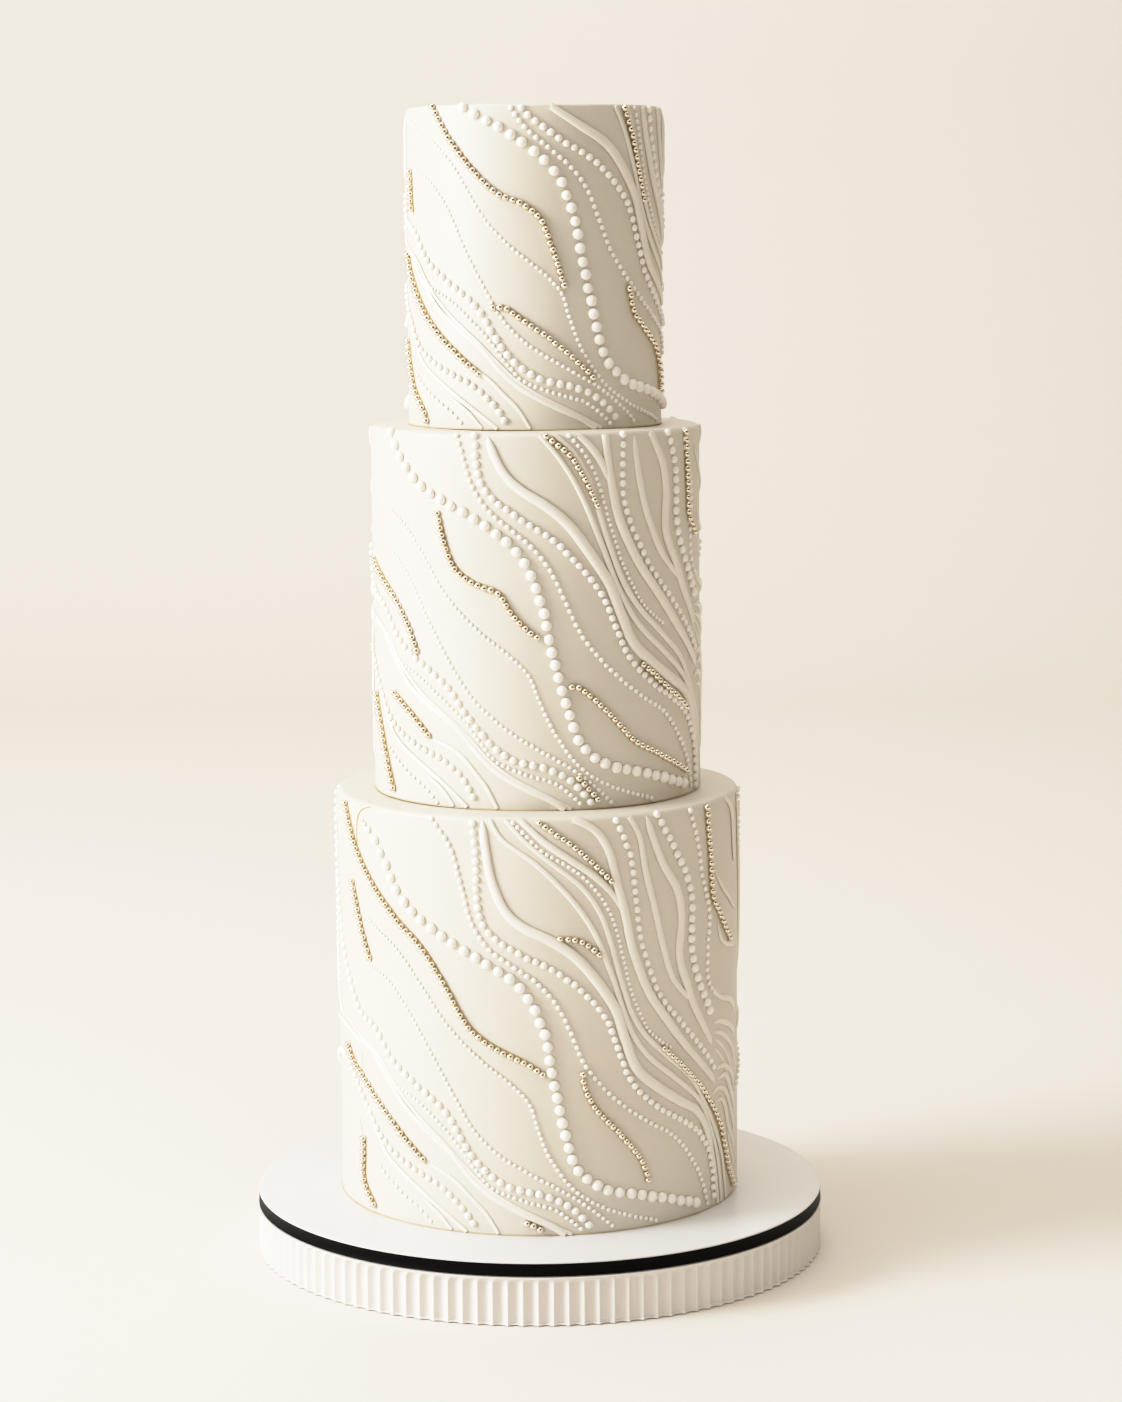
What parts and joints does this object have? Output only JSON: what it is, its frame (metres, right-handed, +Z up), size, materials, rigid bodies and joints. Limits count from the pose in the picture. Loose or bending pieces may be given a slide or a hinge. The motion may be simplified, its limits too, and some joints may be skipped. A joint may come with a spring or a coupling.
{
  "type": "tiered cake",
  "caption": "Uncut round tiered cake covered in ivory fondant with piped strands and ropes, set on a ribboned board over a fluted drum that it is displayed on.",
  "frame": {"origin": "centre of the drum's underside, on the surface that the whole rests on", "axes": "+Z up along the tiers' common axis, -Y towards the front of the picture, +X to the viewer's right"},
  "size_m": [0.3626, 0.3626, 0.7216],
  "materials": {
    "ivory_fondant": "smooth satin sugar paste",
    "board_white": "satin white",
    "black_satin": "black satin ribbon",
    "drum_white": "warm matte white",
    "gold_leaf": "champagne gold lustre on sugar beads"
  },
  "bodies": {
    "root": {"top_tier": "ivory_fondant", "middle_tier": "ivory_fondant", "bottom_tier": "ivory_fondant", "cake_board": "board_white", "ribbon_band": "black_satin", "fluted_base": "drum_white"}
  },
  "joints": []
}
